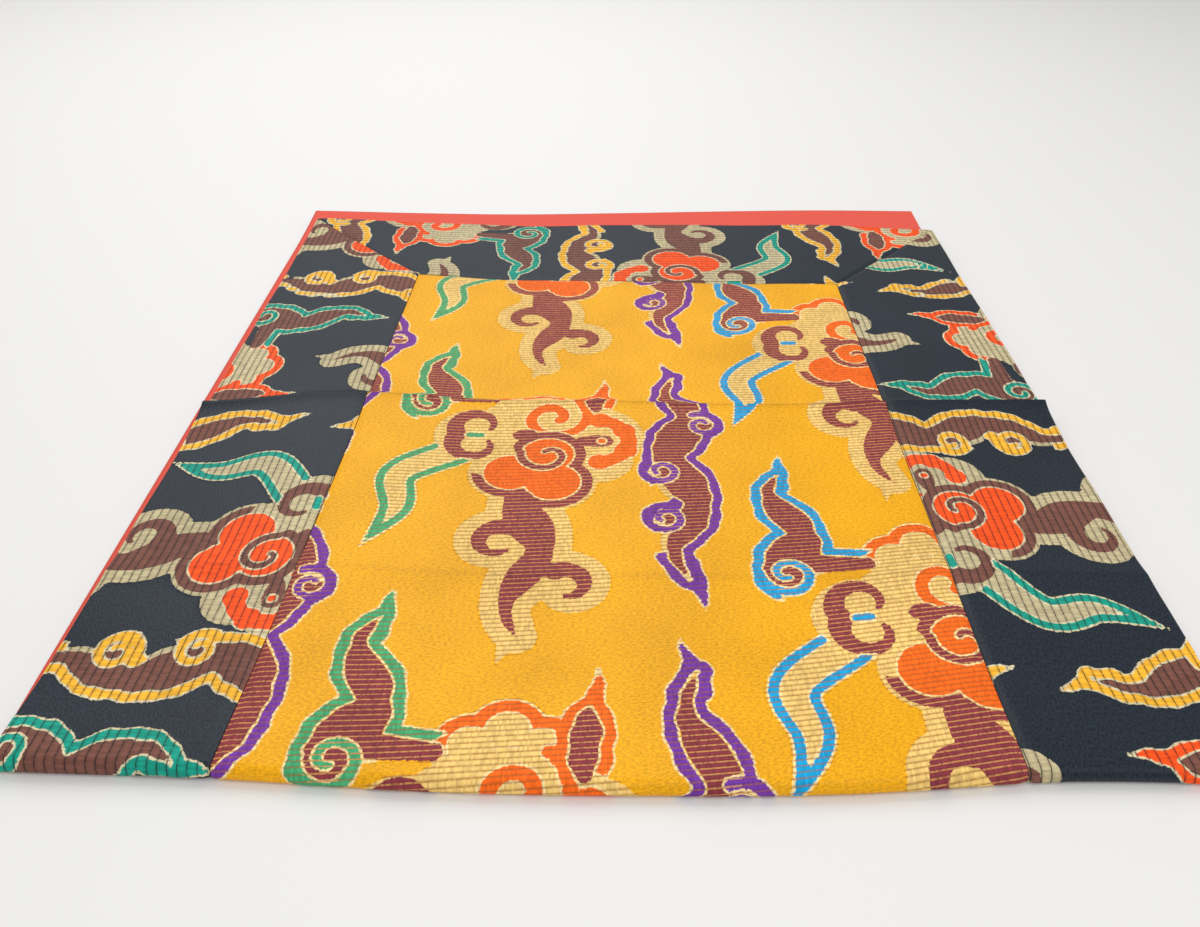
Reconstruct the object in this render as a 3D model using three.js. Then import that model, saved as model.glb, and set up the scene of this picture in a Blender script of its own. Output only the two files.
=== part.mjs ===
// A lined brocade table cloth, folded once across its length and lying on a table.
// A yellow brocade panel is framed by black brocade borders, mitred at the corners, over a red lining.
// Millimetres, +Z up. X runs across the cloth, Y from the fold to its two ends.
import * as THREE from "three";

// Flat sizes of the sewn cloth
const CLOTH_WIDTH = 457;
const UPPER_LENGTH = 484; // from the fold to the end that lies on top
const LOWER_LENGTH = 513; // from the fold to the end that lies underneath
const END_BORDER = 88;
const SEAM_GAP = 0.3; // clearance between two pieces along a seam

// The panel's seams run a little out of square: places across the cloth, and along it from the fold
const LEFT_SEAM = { atFold: -149, atUpperEnd: -139 };
const RIGHT_SEAM = { atFold: 141.5, atUpperEnd: 142 };
const UPPER_SEAM = { atLeft: 398, atRight: 389 };

// Thickness of the stack, counted outwards from the space inside the fold
const FACE_THICKNESS = 1;
const LINING_THICKNESS = 1;
const LAYER_GAP = 0.35;
const INNER_GAP = 0.8; // between the two lining layers where the cloth lies flat
const STACK = LINING_THICKNESS + LAYER_GAP + FACE_THICKNESS;
const LINING_LAYER = { inner: 0, thickness: LINING_THICKNESS };
const FACE_LAYER = { inner: LINING_THICKNESS + LAYER_GAP, thickness: FACE_THICKNESS };

// The fold at the front: a soft loop that stands a little higher than the layers behind it
const FOLD_REACH = 1.4; // half depth of the space inside the loop
const FOLD_FLAT_HALF = 6; // flat length from the front of the loop to where it meets a layer
const FOLD_PUFF_LENGTH = 48; // the loop's extra height dies away over this length

// The old storage crease across the upper half: a tent ridge with a steep back
const CREASE_AT = 242;
const RIDGE_FRONT = 42;
const RIDGE_BACK = 8;

// A fainter crease nearer the fold, and the slight rise of the upper end over the seams below it
const FAINT_CREASE_AT = 108;
const FAINT_CREASE_HALF = 16;
const FAINT_CREASE_HEIGHT = 0.9;
const END_RISE = 1;
const END_RISE_LENGTH = 70;

// The lower end curls up off the table
const LOWER_CURL = 2.4;
const LOWER_CURL_LENGTH = 70;

// How far the lower half has slipped to the left, and the upper end with it
const LOWER_SLIP_AT_FOLD = 3;
const LOWER_SLIP_LENGTH = 25;
const LOWER_SLIP_AT_END = 5;
const UPPER_SLIP_AT_END = 2;

// How the cloth lies, at evenly spaced stations across it, from the left edge to the right.
// fold, crease, upperEnd and lowerEnd are places along Y; ridge and puff are heights.
const LAY = [
  { fold: 0.8, crease: 230, upperEnd: 487, lowerEnd: 505, ridge: 4.2, puff: 2.6 },
  { fold: -0.6, crease: 245, upperEnd: 482, lowerEnd: 503, ridge: 2.2, puff: 1.8 },
  { fold: -4, crease: 239, upperEnd: 478, lowerEnd: 503, ridge: 1.5, puff: 1.6 },
  { fold: -4.2, crease: 240, upperEnd: 482, lowerEnd: 508, ridge: 1.6, puff: 1.4 },
  { fold: -2, crease: 239, upperEnd: 485, lowerEnd: 514, ridge: 1.6, puff: 1.6 },
  { fold: 4.8, crease: 244, upperEnd: 487, lowerEnd: 519, ridge: 2.4, puff: 1.4 },
  { fold: 5.3, crease: 244, upperEnd: 481, lowerEnd: 520, ridge: 4, puff: 1.6 },
];

// Grid of the solids
const FOLD_STEPS = 8;
const PANEL_COLUMNS = 12;
const BORDER_COLUMNS = 4;
const END_BORDER_ROWS = 4;
const MITRE_FAN = 36; // the rows turn from square to the mitres over this length of the panel
const MITRE_ROWS = 4;

const HALF_WIDTH = CLOTH_WIDTH / 2;
const PANEL_UPPER = UPPER_LENGTH - END_BORDER;
const PANEL_LOWER = LOWER_LENGTH - END_BORDER;
const FOLD_AXIS_Z = STACK + INNER_GAP / 2;

const { clamp, lerp, smoothstep } = THREE.MathUtils;

// Value of one column of LAY at u, on a smooth curve through the stations
function lay(column, u) {
  const last = LAY.length - 1;
  const at = clamp((u + HALF_WIDTH) / CLOTH_WIDTH, 0, 1) * last;
  const i = Math.min(Math.floor(at), last - 1);
  const value = (k) => LAY[clamp(k, 0, last)][column];
  const t = at - i;
  const slopeStart = (value(i + 1) - value(i - 1)) / 2;
  const slopeEnd = (value(i + 2) - value(i)) / 2;
  const t2 = t * t;
  const t3 = t2 * t;
  return (
    (2 * t3 - 3 * t2 + 1) * value(i) +
    (t3 - 2 * t2 + t) * slopeStart +
    (3 * t2 - 2 * t3) * value(i + 1) +
    (t3 - t2) * slopeEnd
  );
}

// A crest of height 1 at 0 that falls to 0 over front before it and back behind it
function crest(offset, front, back) {
  const t = offset < 0 ? -offset / front : offset / back;
  return t < 1 ? (1 - t) ** 2 : 0;
}

// Height of the upper half above its lowest lie, at flat place u, v
function lift(u, v) {
  const fade = clamp((v - FOLD_FLAT_HALF) / FOLD_PUFF_LENGTH, 0, 1);
  const puff = lay("puff", u) * 0.5 * (1 + Math.cos(Math.PI * fade));
  const ridge = lay("ridge", u) * crest(v - CREASE_AT, RIDGE_FRONT, RIDGE_BACK);
  const faint = FAINT_CREASE_HEIGHT * crest(v - FAINT_CREASE_AT, FAINT_CREASE_HALF, FAINT_CREASE_HALF);
  const end = END_RISE * smoothstep(v, UPPER_LENGTH - END_RISE_LENGTH, UPPER_LENGTH);
  return puff + ridge + faint + end;
}

// The folded place of a point of the cloth: u across it, v along it from the fold (positive on the upper
// half) and d outwards from the space inside the fold
function place(u, v, d) {
  const foldBack = lay("fold", u) + FOLD_REACH + STACK;
  if (Math.abs(v) <= FOLD_FLAT_HALF) {
    const angle = (v / FOLD_FLAT_HALF) * (Math.PI / 2);
    const rise = INNER_GAP / 2 + d + (v > 0 ? lay("puff", u) : 0);
    return new THREE.Vector3(
      u,
      foldBack - (FOLD_REACH + d) * Math.cos(angle),
      FOLD_AXIS_Z + rise * Math.sin(angle),
    );
  }
  if (v < 0) {
    const along = (-v - FOLD_FLAT_HALF) / (LOWER_LENGTH - FOLD_FLAT_HALF);
    const slip =
      LOWER_SLIP_AT_FOLD * smoothstep(-v - FOLD_FLAT_HALF, 0, LOWER_SLIP_LENGTH) + LOWER_SLIP_AT_END * along;
    const curl = LOWER_CURL * clamp(1 - (LOWER_LENGTH + v) / LOWER_CURL_LENGTH, 0, 1) ** 2;
    return new THREE.Vector3(
      u - slip,
      lerp(foldBack, lay("lowerEnd", u), along),
      FOLD_AXIS_Z - INNER_GAP / 2 - d + curl,
    );
  }
  const crease = lay("crease", u);
  const y =
    v < CREASE_AT
      ? lerp(foldBack, crease, (v - FOLD_FLAT_HALF) / (CREASE_AT - FOLD_FLAT_HALF))
      : lerp(crease, lay("upperEnd", u), (v - CREASE_AT) / (UPPER_LENGTH - CREASE_AT));
  const slip = UPPER_SLIP_AT_END * (v / UPPER_LENGTH) ** 2;
  return new THREE.Vector3(u - slip, y, FOLD_AXIS_Z + INNER_GAP / 2 + lift(u, v) + d);
}

// Evenly spaced numbers from first to last, both included
function spaced(first, last, steps) {
  return Array.from({ length: steps + 1 }, (_, i) => lerp(first, last, i / steps));
}

// Rows along the cloth, closer together at the fold and the creases
const LOWER_ROWS = [
  ...spaced(-PANEL_LOWER, MITRE_FAN - PANEL_LOWER, MITRE_ROWS),
  -PANEL_LOWER / 2,
  ...spaced(-FOLD_FLAT_HALF - LOWER_SLIP_LENGTH, -FOLD_FLAT_HALF, 2).slice(0, -1),
];
const FOLD_ROWS = spaced(-FOLD_FLAT_HALF, FOLD_FLAT_HALF, FOLD_STEPS);
const PUFF_ROWS = spaced(FOLD_FLAT_HALF, FOLD_FLAT_HALF + FOLD_PUFF_LENGTH, 5).slice(1);
const FAINT_ROWS = spaced(FAINT_CREASE_AT - FAINT_CREASE_HALF, FAINT_CREASE_AT + FAINT_CREASE_HALF, 4);
const BETWEEN_CREASES = lerp(FAINT_CREASE_AT + FAINT_CREASE_HALF, CREASE_AT - RIDGE_FRONT, 0.5);
const RIDGE_ROWS = [
  ...[-1, -0.65, -0.35, -0.15].map((share) => CREASE_AT + share * RIDGE_FRONT),
  ...[0, 0.3, 0.65, 1].map((share) => CREASE_AT + share * RIDGE_BACK),
];
const UPPER_ROWS = [
  ...spaced(CREASE_AT + RIDGE_BACK, PANEL_UPPER - MITRE_FAN, 3).slice(1, -1),
  ...spaced(PANEL_UPPER - MITRE_FAN, PANEL_UPPER, MITRE_ROWS),
];
const PANEL_ROWS = [
  ...LOWER_ROWS,
  ...FOLD_ROWS,
  ...PUFF_ROWS,
  ...FAINT_ROWS,
  BETWEEN_CREASES,
  ...RIDGE_ROWS,
  ...UPPER_ROWS,
];
const LINING_ROWS = [
  ...spaced(-LOWER_LENGTH, -PANEL_LOWER, END_BORDER_ROWS).slice(0, -1),
  ...PANEL_ROWS,
  ...spaced(PANEL_UPPER, UPPER_LENGTH, END_BORDER_ROWS).slice(1),
];

// A closed sheet: a box whose points are moved to the places that flat(across, row) gives them
function sheet(name, material, layer, columns, rows, flat) {
  const geometry = new THREE.BoxGeometry(1, 1, 1, columns, rows, 1);
  const points = geometry.attributes.position;
  for (let i = 0; i < points.count; i++) {
    const { u, v } = flat(points.getX(i) + 0.5, Math.round((points.getY(i) + 0.5) * rows));
    const d = layer.inner + (points.getZ(i) + 0.5) * layer.thickness;
    const p = place(u, v, d);
    points.setXYZ(i, p.x, p.y, p.z);
  }
  geometry.computeVertexNormals();
  const mesh = new THREE.Mesh(geometry, material);
  mesh.name = name;
  return mesh;
}

// Place across of one of the panel's side seams, at v along the cloth
function seamAcross(seam, v) {
  return lerp(seam.atFold, seam.atUpperEnd, clamp(v / PANEL_UPPER, 0, 1));
}

// A row at v, turned near the panel's two ends so that its last places are upperEnd and lowerEnd
function turned(v, upperEnd, lowerEnd) {
  const upper = clamp((v - PANEL_UPPER + MITRE_FAN) / MITRE_FAN, 0, 1);
  const lower = clamp((MITRE_FAN - PANEL_LOWER - v) / MITRE_FAN, 0, 1);
  return lerp(lerp(v, upperEnd, upper), lowerEnd, lower);
}

const satin = (color) => new THREE.MeshStandardMaterial({ color, roughness: 0.55, metalness: 0 });
const YELLOW_BROCADE = satin(0xe0a526);
const BLACK_BROCADE = satin(0x23272d);
const RED_LINING = satin(0xd2463c);
RED_LINING.roughness = 0.85;

// Draws the first and the last row of a long piece back from the end borders
function endClearance(v, row, clearance) {
  if (row === 0) return v + clearance;
  return row === PANEL_ROWS.length - 1 ? v - clearance : v;
}

function panel() {
  const rows = PANEL_ROWS.length - 1;
  return sheet("center_panel", YELLOW_BROCADE, FACE_LAYER, PANEL_COLUMNS, rows, (across, row) => {
    const v = turned(PANEL_ROWS[row], lerp(UPPER_SEAM.atLeft, UPPER_SEAM.atRight, across), -PANEL_LOWER);
    const left = seamAcross(LEFT_SEAM, v) + SEAM_GAP / 2;
    const right = seamAcross(RIGHT_SEAM, v) - SEAM_GAP / 2;
    return { u: lerp(left, right, across), v: endClearance(v, row, SEAM_GAP / 2) };
  });
}

// A strip down one side, in one piece round the fold, with a mitre at each end
function sideBorder(name, side, seam, corner) {
  const rows = PANEL_ROWS.length - 1;
  return sheet(name, BLACK_BROCADE, FACE_LAYER, BORDER_COLUMNS, rows, (across, row) => {
    const outward = side < 0 ? 1 - across : across;
    const inner = turned(PANEL_ROWS[row], corner, -PANEL_LOWER);
    const outer = turned(PANEL_ROWS[row], UPPER_LENGTH, -LOWER_LENGTH);
    return {
      u: lerp(seamAcross(seam, inner) + (side * SEAM_GAP) / 2, side * HALF_WIDTH, outward),
      v: endClearance(lerp(inner, outer, outward), row, SEAM_GAP),
    };
  });
}

// A strip across one end, from its seam on the panel to the wider edge of the cloth
function endBorder(name, leftCorner, rightCorner, edge) {
  const clearance = (Math.sign(edge) * SEAM_GAP) / 2;
  return sheet(name, BLACK_BROCADE, FACE_LAYER, PANEL_COLUMNS, END_BORDER_ROWS, (across, row) => {
    const outward = edge > 0 ? row / END_BORDER_ROWS : 1 - row / END_BORDER_ROWS;
    const seam = lerp(leftCorner.v, rightCorner.v, across) + clearance;
    const left = lerp(leftCorner.u, -HALF_WIDTH, outward) + SEAM_GAP / 2;
    const right = lerp(rightCorner.u, HALF_WIDTH, outward) - SEAM_GAP / 2;
    return { u: lerp(left, right, across), v: lerp(seam, edge, outward) };
  });
}

function lining() {
  const columns = PANEL_COLUMNS + 2 * BORDER_COLUMNS;
  return sheet("lining", RED_LINING, LINING_LAYER, columns, LINING_ROWS.length - 1, (across, row) => ({
    u: lerp(-HALF_WIDTH, HALF_WIDTH, across),
    v: LINING_ROWS[row],
  }));
}

const cloth = new THREE.Group();
cloth.add(
  panel(),
  sideBorder("border_left", -1, LEFT_SEAM, UPPER_SEAM.atLeft),
  sideBorder("border_right", 1, RIGHT_SEAM, UPPER_SEAM.atRight),
  endBorder(
    "border_upper_end",
    { u: LEFT_SEAM.atUpperEnd, v: UPPER_SEAM.atLeft },
    { u: RIGHT_SEAM.atUpperEnd, v: UPPER_SEAM.atRight },
    UPPER_LENGTH,
  ),
  endBorder(
    "border_lower_end",
    { u: LEFT_SEAM.atFold, v: -PANEL_LOWER },
    { u: RIGHT_SEAM.atFold, v: -PANEL_LOWER },
    -LOWER_LENGTH,
  ),
  lining(),
);

// The origin is under the middle of the folded cloth, on the surface that it lies on
const box = new THREE.Box3().setFromObject(cloth);
const middle = box.getCenter(new THREE.Vector3());
cloth.position.set(-middle.x, -middle.y, -box.min.z);

const brocadeCloth = new THREE.Group();
brocadeCloth.add(cloth);

export default brocadeCloth;
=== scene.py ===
# %% [markdown]
# # A lined brocade table cloth, folded once
# The real cloth is a yellow brocade panel framed by black brocade strips, mitred at the corners and sewn
# to a red lining. It lies folded in two, with the fold towards us and an old storage crease across it.
# The solid model is loaded first and stays fixed. It gives the box that the finished cloth has to keep to.

import math

import bpy
import numpy as np
from mathutils import Matrix, Vector


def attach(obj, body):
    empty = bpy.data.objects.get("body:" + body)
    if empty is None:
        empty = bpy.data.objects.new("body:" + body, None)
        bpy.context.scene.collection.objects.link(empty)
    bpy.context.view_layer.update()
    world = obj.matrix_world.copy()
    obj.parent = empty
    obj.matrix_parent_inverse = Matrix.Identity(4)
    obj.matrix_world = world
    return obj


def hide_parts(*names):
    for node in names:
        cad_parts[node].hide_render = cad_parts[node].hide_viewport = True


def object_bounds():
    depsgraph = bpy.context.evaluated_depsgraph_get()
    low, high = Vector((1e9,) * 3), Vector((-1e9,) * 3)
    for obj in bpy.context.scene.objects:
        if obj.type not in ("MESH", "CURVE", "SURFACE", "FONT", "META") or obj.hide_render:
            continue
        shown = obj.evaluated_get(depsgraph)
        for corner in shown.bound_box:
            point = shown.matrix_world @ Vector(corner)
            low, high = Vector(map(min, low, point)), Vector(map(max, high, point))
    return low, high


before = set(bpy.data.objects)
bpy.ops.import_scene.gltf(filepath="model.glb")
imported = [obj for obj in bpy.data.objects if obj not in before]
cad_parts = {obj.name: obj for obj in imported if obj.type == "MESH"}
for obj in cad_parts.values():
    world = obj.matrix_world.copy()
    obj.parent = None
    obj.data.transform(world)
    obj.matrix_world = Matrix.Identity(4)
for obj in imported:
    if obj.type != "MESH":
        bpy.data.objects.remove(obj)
CAD_LOW, CAD_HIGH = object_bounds()
MM = 0.001
size = [round((b - a) / MM, 1) for a, b in zip(CAD_LOW, CAD_HIGH)]
print("solid model, mm:", size, "pieces:", len(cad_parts))

# %% [markdown]
# ## How the cloth lies
# Cloth could be dropped by a simulation, but a folded cloth that has lain in a drawer keeps a shape of its
# own. So every point has a flat place, u across and v along from the fold, and one function folds it up.
# All pieces share that function, which keeps their layers apart everywhere. Lengths are in millimetres.

# %% Sizes of the sewn cloth
CLOTH_WIDTH = 457
HALF_WIDTH = CLOTH_WIDTH / 2
UPPER_LENGTH = 484  # from the fold to the end on top
LOWER_LENGTH = 513  # from the fold to the end underneath
FACE_THICKNESS = 1
LINING_THICKNESS = 1
LAYER_GAP = 0.35
INNER_GAP = 0.8
FACE_INNER = LINING_THICKNESS + LAYER_GAP
STACK = FACE_INNER + FACE_THICKNESS

# Values at evenly spaced stations from the left edge to the right: places along Y, then heights
LAY = {
    "fold": (0.8, -0.6, -4, -4.2, -2, 4.8, 5.3),
    "crease": (230, 245, 239, 240, 239, 244, 244),
    "upper_end": (487, 482, 478, 482, 485, 487, 481),
    "lower_end": (505, 503, 503, 508, 514, 519, 520),
    "ridge": (4.2, 2.2, 1.5, 1.6, 1.6, 2.4, 4),
    "puff": (2.6, 1.8, 1.6, 1.4, 1.6, 1.4, 1.6),
}
# The lay's own axes start at the middle of the fold, and the frame's under the middle of the cloth
ORIGIN = np.array([CAD_HIGH[0] / MM - HALF_WIDTH, CAD_HIGH[1] / MM - max(LAY["lower_end"]), 0])
print("lay origin in the frame, mm:", ORIGIN.round(2))

# %% Curves that shape it
def smooth(x, low, high):
    t = np.clip((x - low) / (high - low), 0, 1)
    return t * t * (3 - 2 * t)


def lay(column, u):
    """Value of one row of LAY at u, on a smooth curve through its stations."""
    values = np.pad(np.array(LAY[column], float), 1, mode="edge")
    last = len(LAY[column]) - 1
    at = np.clip((u + HALF_WIDTH) / CLOTH_WIDTH, 0, 1) * last
    i = np.minimum(at.astype(int), last - 1)
    before, start, end, after = (values[i + k] for k in range(4))
    t = at - i
    slope_start = (end - before) / 2
    slope_end = (after - start) / 2
    bend = 3 * (end - start) - 2 * slope_start - slope_end
    return start + slope_start * t + bend * t**2 + (slope_start + slope_end - 2 * (end - start)) * t**3


def crest(offset, front, back):
    """A sharp crest, from 1 at its top to 0 at its front and back lengths."""
    t = np.where(offset < 0, -offset / front, offset / back)
    return np.clip(1 - t, 0, 1) ** 2


def phase(x, y, lengths):
    """Angle of a wave, from the lengths in which it turns by one radian along x and along y."""
    return x / lengths[0] + y / lengths[1]


middle = np.array([0.0])
print("height of the crease at the middle, mm:", lay("ridge", middle))

# %% Heights of the upper half
FOLD_FLAT_HALF = 6  # the fold itself takes up this much cloth on each half
FOLD_PUFF_LENGTH = 48
CREASE_AT = 242
RIDGE_FRONT = 42
RIDGE_BACK = 8
PRESSED_EDGE = 1.1  # the sharp edge that pressing left on top of the crease
PRESSED_FRONT = 9
PRESSED_BACK = 3.5
FAINT_CREASE_AT = 108
FAINT_CREASE_HALF = 16
FAINT_CREASE_HEIGHT = 0.9
END_RISE = 1
END_RISE_LENGTH = 70
RIPPLE_HEIGHT = 0.22
RIPPLES_GROW = (12, 60)  # behind the fold, from nothing to their full height
LONG_WAVE = (27, 61)  # lengths in which a wave turns by one radian, across and along
CROSS_WAVE = (-90, 33)
SHORT_WAVE = (13, -47)
SHORT_WAVE_SHARE = 0.6
SHORT_WAVE_START = 1
PUCKER_HEIGHT = 0.25
PUCKERS_GROW = (20, 90)
PUCKERED_FROM = 140  # out from the middle
PUCKER_LENGTH = 11
PUCKER_SWAY = 0.8
PUCKER_SWAY_LENGTH = 40


def ripple(u, v):
    """Slack waves that cross each other on the upper half, and puckers along its sewn sides."""
    side = smooth(np.abs(u), PUCKERED_FROM, HALF_WIDTH)
    wave = np.sin(phase(u, v, LONG_WAVE)) * np.sin(phase(u, v, CROSS_WAVE))
    wave = wave + SHORT_WAVE_SHARE * np.sin(phase(u, v, SHORT_WAVE) + SHORT_WAVE_START)
    pucker = np.sin(v / PUCKER_LENGTH + PUCKER_SWAY * np.sin(u / PUCKER_SWAY_LENGTH))
    pucker = pucker * smooth(v, *PUCKERS_GROW)
    return smooth(v, *RIPPLES_GROW) * (RIPPLE_HEIGHT * wave + PUCKER_HEIGHT * side * pucker)


def lift(u, v):
    """Height of the upper half above its lowest lie."""
    fade = np.clip((v - FOLD_FLAT_HALF) / FOLD_PUFF_LENGTH, 0, 1)
    puff = lay("puff", u) * (1 + np.cos(np.pi * fade)) / 2
    ridge = lay("ridge", u) * crest(v - CREASE_AT, RIDGE_FRONT, RIDGE_BACK)
    pressed = PRESSED_EDGE * crest(v - CREASE_AT, PRESSED_FRONT, PRESSED_BACK)
    faint = FAINT_CREASE_HEIGHT * crest(v - FAINT_CREASE_AT, FAINT_CREASE_HALF, FAINT_CREASE_HALF)
    end = END_RISE * smooth(v, UPPER_LENGTH - END_RISE_LENGTH, UPPER_LENGTH)
    return puff + ridge + pressed + faint + end


print("lift on the crease, mm:", lift(middle, middle + CREASE_AT).round(1))

# %% Fold the flat cloth
FOLD_AXIS_Z = STACK + INNER_GAP / 2
FOLD_REACH = 1.4
LOWER_CURL = 2.4
LOWER_CURL_LENGTH = 70
LOWER_SLIP_AT_FOLD = 3  # the lower half lies this far to the left, soon after the fold
LOWER_SLIP_LENGTH = 25
LOWER_SLIP_AT_END = 5  # and by this much more at its end
UPPER_SLIP_AT_END = 2


def place(u, v, d):
    """Folded place of a flat point, d outwards from the space inside the fold, in the frame's axes."""
    back = lay("fold", u) + FOLD_REACH + STACK
    angle = np.clip(v / FOLD_FLAT_HALF, -1, 1) * np.pi / 2
    rise = INNER_GAP / 2 + d + np.where(v > 0, lay("puff", u), 0)
    fold = u, back - (FOLD_REACH + d) * np.cos(angle), FOLD_AXIS_Z + rise * np.sin(angle)

    along = (-v - FOLD_FLAT_HALF) / (LOWER_LENGTH - FOLD_FLAT_HALF)
    slip = LOWER_SLIP_AT_FOLD * smooth(-v - FOLD_FLAT_HALF, 0, LOWER_SLIP_LENGTH) + LOWER_SLIP_AT_END * along
    curl = LOWER_CURL * np.clip(1 - (LOWER_LENGTH + v) / LOWER_CURL_LENGTH, 0, 1) ** 2
    lower_y = back + (lay("lower_end", u) - back) * along
    lower = u - slip, lower_y, FOLD_AXIS_Z - INNER_GAP / 2 - d + curl

    crease = lay("crease", u)
    before_crease = back + (crease - back) * (v - FOLD_FLAT_HALF) / (CREASE_AT - FOLD_FLAT_HALF)
    behind_crease = crease + (lay("upper_end", u) - crease) * (v - CREASE_AT) / (UPPER_LENGTH - CREASE_AT)
    upper_y = np.where(v < CREASE_AT, before_crease, behind_crease)
    upper_z = FOLD_AXIS_Z + INNER_GAP / 2 + lift(u, v) + ripple(u, v) + d
    upper = u - UPPER_SLIP_AT_END * (v / UPPER_LENGTH) ** 2, upper_y, upper_z

    flat = np.where(v < 0, np.stack(lower), np.stack(upper))
    folded = np.where(np.abs(v) <= FOLD_FLAT_HALF, np.stack(fold), flat)
    return np.moveaxis(folded, 0, -1) + ORIGIN


print("top of the fold, mm:", place(middle, middle + FOLD_FLAT_HALF, STACK).round(1))

# %% [markdown]
# ## Camera
# The camera comes early, because every later choice is judged through it. It could be set by eye, but a
# small error in its tilt would throw off the whole view. So its angle and lens were worked out from the
# cloth's straight seams and edges, and the folded outline falls into place.

# %% Camera
FRAME_WIDTH_PX = 1200
FOCAL_PX = 990.2
SENSOR_MM = 36
CAMERA_AT = np.array([-9.3, -213.6, 302.7])  # in the lay's axes
PITCH_DOWN = math.radians(36.63)
ROLL = math.radians(0.536)
YAW = math.radians(-0.675)

camera = bpy.data.objects.new("camera", bpy.data.cameras.new("camera"))
camera.data.sensor_width = SENSOR_MM
camera.data.lens = FOCAL_PX * SENSOR_MM / FRAME_WIDTH_PX
camera.data.clip_start = 0.01
turn = Matrix.Rotation(-YAW, 4, "Z") @ Matrix.Rotation(math.pi / 2 - PITCH_DOWN, 4, "X")
turn = turn @ Matrix.Rotation(ROLL, 4, "Z")
camera.matrix_world = Matrix.Translation(Vector((CAMERA_AT + ORIGIN) * MM)) @ turn
bpy.context.scene.collection.objects.link(camera)
bpy.context.scene.camera = camera
print("lens, mm:", round(camera.data.lens, 2))

# %% [markdown]
# ## Drawing the brocade's figures
# Clouds with flames are an old stock figure of such silks. They could be cut as separate meshes, but woven
# figures have no thickness of their own. So they are drawn with a brush: a stroke is a row of discs along a
# curve or a spiral, and the distance to the nearest disc tells how far a point of the cloth is from the
# figure. That distance, kept at every vertex, later lets the material draw crisp edges and outlines.

# %% Brush strokes
REACH = 14  # distances are only worked out this far from a stroke


def sweep(*discs, steps=9):
    """A stroke on a smooth curve through a few discs (x, y, radius)."""
    p = np.array(discs, float)
    p = np.vstack([2 * p[0] - p[1], p, 2 * p[-1] - p[-2]])
    t = np.linspace(0, 1, steps, endpoint=False)[:, None]
    runs = [p[-2:-1]]
    for a, b, c, d in zip(p[:-3], p[1:-2], p[2:-1], p[3:]):
        bend = 2 * a - 5 * b + 4 * c - d
        runs.append(b + ((c - a) * t + bend * t**2 + (3 * b - a - 3 * c + d) * t**3) / 2)
    return np.vstack(runs)


def scroll(x, y, start, turn, radii, widths, steps=36):
    """A stroke on a spiral round x, y: through turn degrees from start, between two radii and widths."""
    t = np.linspace(0, 1, steps)
    angle = np.radians(start + turn * t)
    radius = radii[0] + (radii[1] - radii[0]) * t
    width = widths[0] + (widths[1] - widths[0]) * t
    return np.stack([x + radius * np.cos(angle), y + radius * np.sin(angle), width], 1)


def dots(*discs):
    return np.array(discs, float)


def distance(x, y, strokes):
    """Distance from each point to the nearest stroke, negative inside it."""
    best = np.full(x.shape, float(REACH))
    for stroke in strokes:
        low = (stroke[:, :2] - stroke[:, 2:]).min(0) - REACH
        high = (stroke[:, :2] + stroke[:, 2:]).max(0) + REACH
        near = np.flatnonzero((x > low[0]) & (x < high[0]) & (y > low[1]) & (y < high[1]))
        gaps = np.hypot(x[near, None] - stroke[:, 0], y[near, None] - stroke[:, 1]) - stroke[:, 2]
        best[near] = np.minimum(best[near], gaps.min(1, initial=REACH))
    return best


print("brush ready, reach", REACH, "mm")

# %% [markdown]
# ## The figures of one repeat
# A weaver's figures could be copied line by line, but stock figures like these are known by their parts. So
# they are composed from a few simple forms. A flame is a stroke that sways like a wave and thins out at its
# ends, a curl is a spiral, and a cloud is a ring of puffs. A flame's rim is worked out from its core. The
# figures' places, rough sizes and colours follow the real cloth. All places are from the cloud's eye.

# %% Forms
SWELL = 0.2  # how much a flame's core swells and narrows on its way
FULLNESS = 0.8  # below 1 a core is fuller towards its ends
FINEST = 0.5  # radius of the thinnest disc
TIP_RADII = (5, 5.6, 0.4)  # inside the flame, where its core ends, and at the point


def tongue(x, start, end, width, sway, waves, foot=0, steps=70):
    """A flame's core, which sways about x and swells at every turn. With a foot it ends wide."""
    t = np.linspace(0, 1, steps)
    turn = 2 * np.pi * waves * t
    taper = np.sin(np.pi * t * (1 - foot / 2)) ** FULLNESS
    radius = width * taper * (1 + SWELL * np.cos(2 * turn))
    return np.stack([x - sway * np.sin(turn), start + (end - start) * t, np.maximum(radius, FINEST)], 1)


def tip(x, y, length, lean):
    """The point of a flame's rim, which goes on from the core's end at x, y and leans sideways."""
    inside, end, point = TIP_RADII
    return sweep((x, y - length / 2, inside), (x + lean / 4, y, end), (x + lean, y + length, point))


def puffs(x, y, radius, size, angles):
    """Round puffs of cloud on a ring round x, y."""
    turn = np.radians(angles)
    size = np.full(turn.shape, float(size))
    return np.stack([x + radius * np.cos(turn), y + radius * np.sin(turn), size], 1)


def mirrored(stroke):
    """The same stroke below the line through the eye."""
    return stroke * (1, -1, 1)


print("a long tongue has", len(tongue(0, 90, -90, 8, 5, 2)), "discs")

# %% Flames
OUTLINE = 0.9  # width of the pale outlines
RIM = 4.3  # width of a flame's rim
WAVER = 0.4  # how far the weave's steps push a flame's edges to and fro
WAVER_WAVES = ((5, 1.9), (-7, 3.1))
CURL_START = 10  # a curl starts in the rim and winds in to its end
CURL_END = 3

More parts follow.
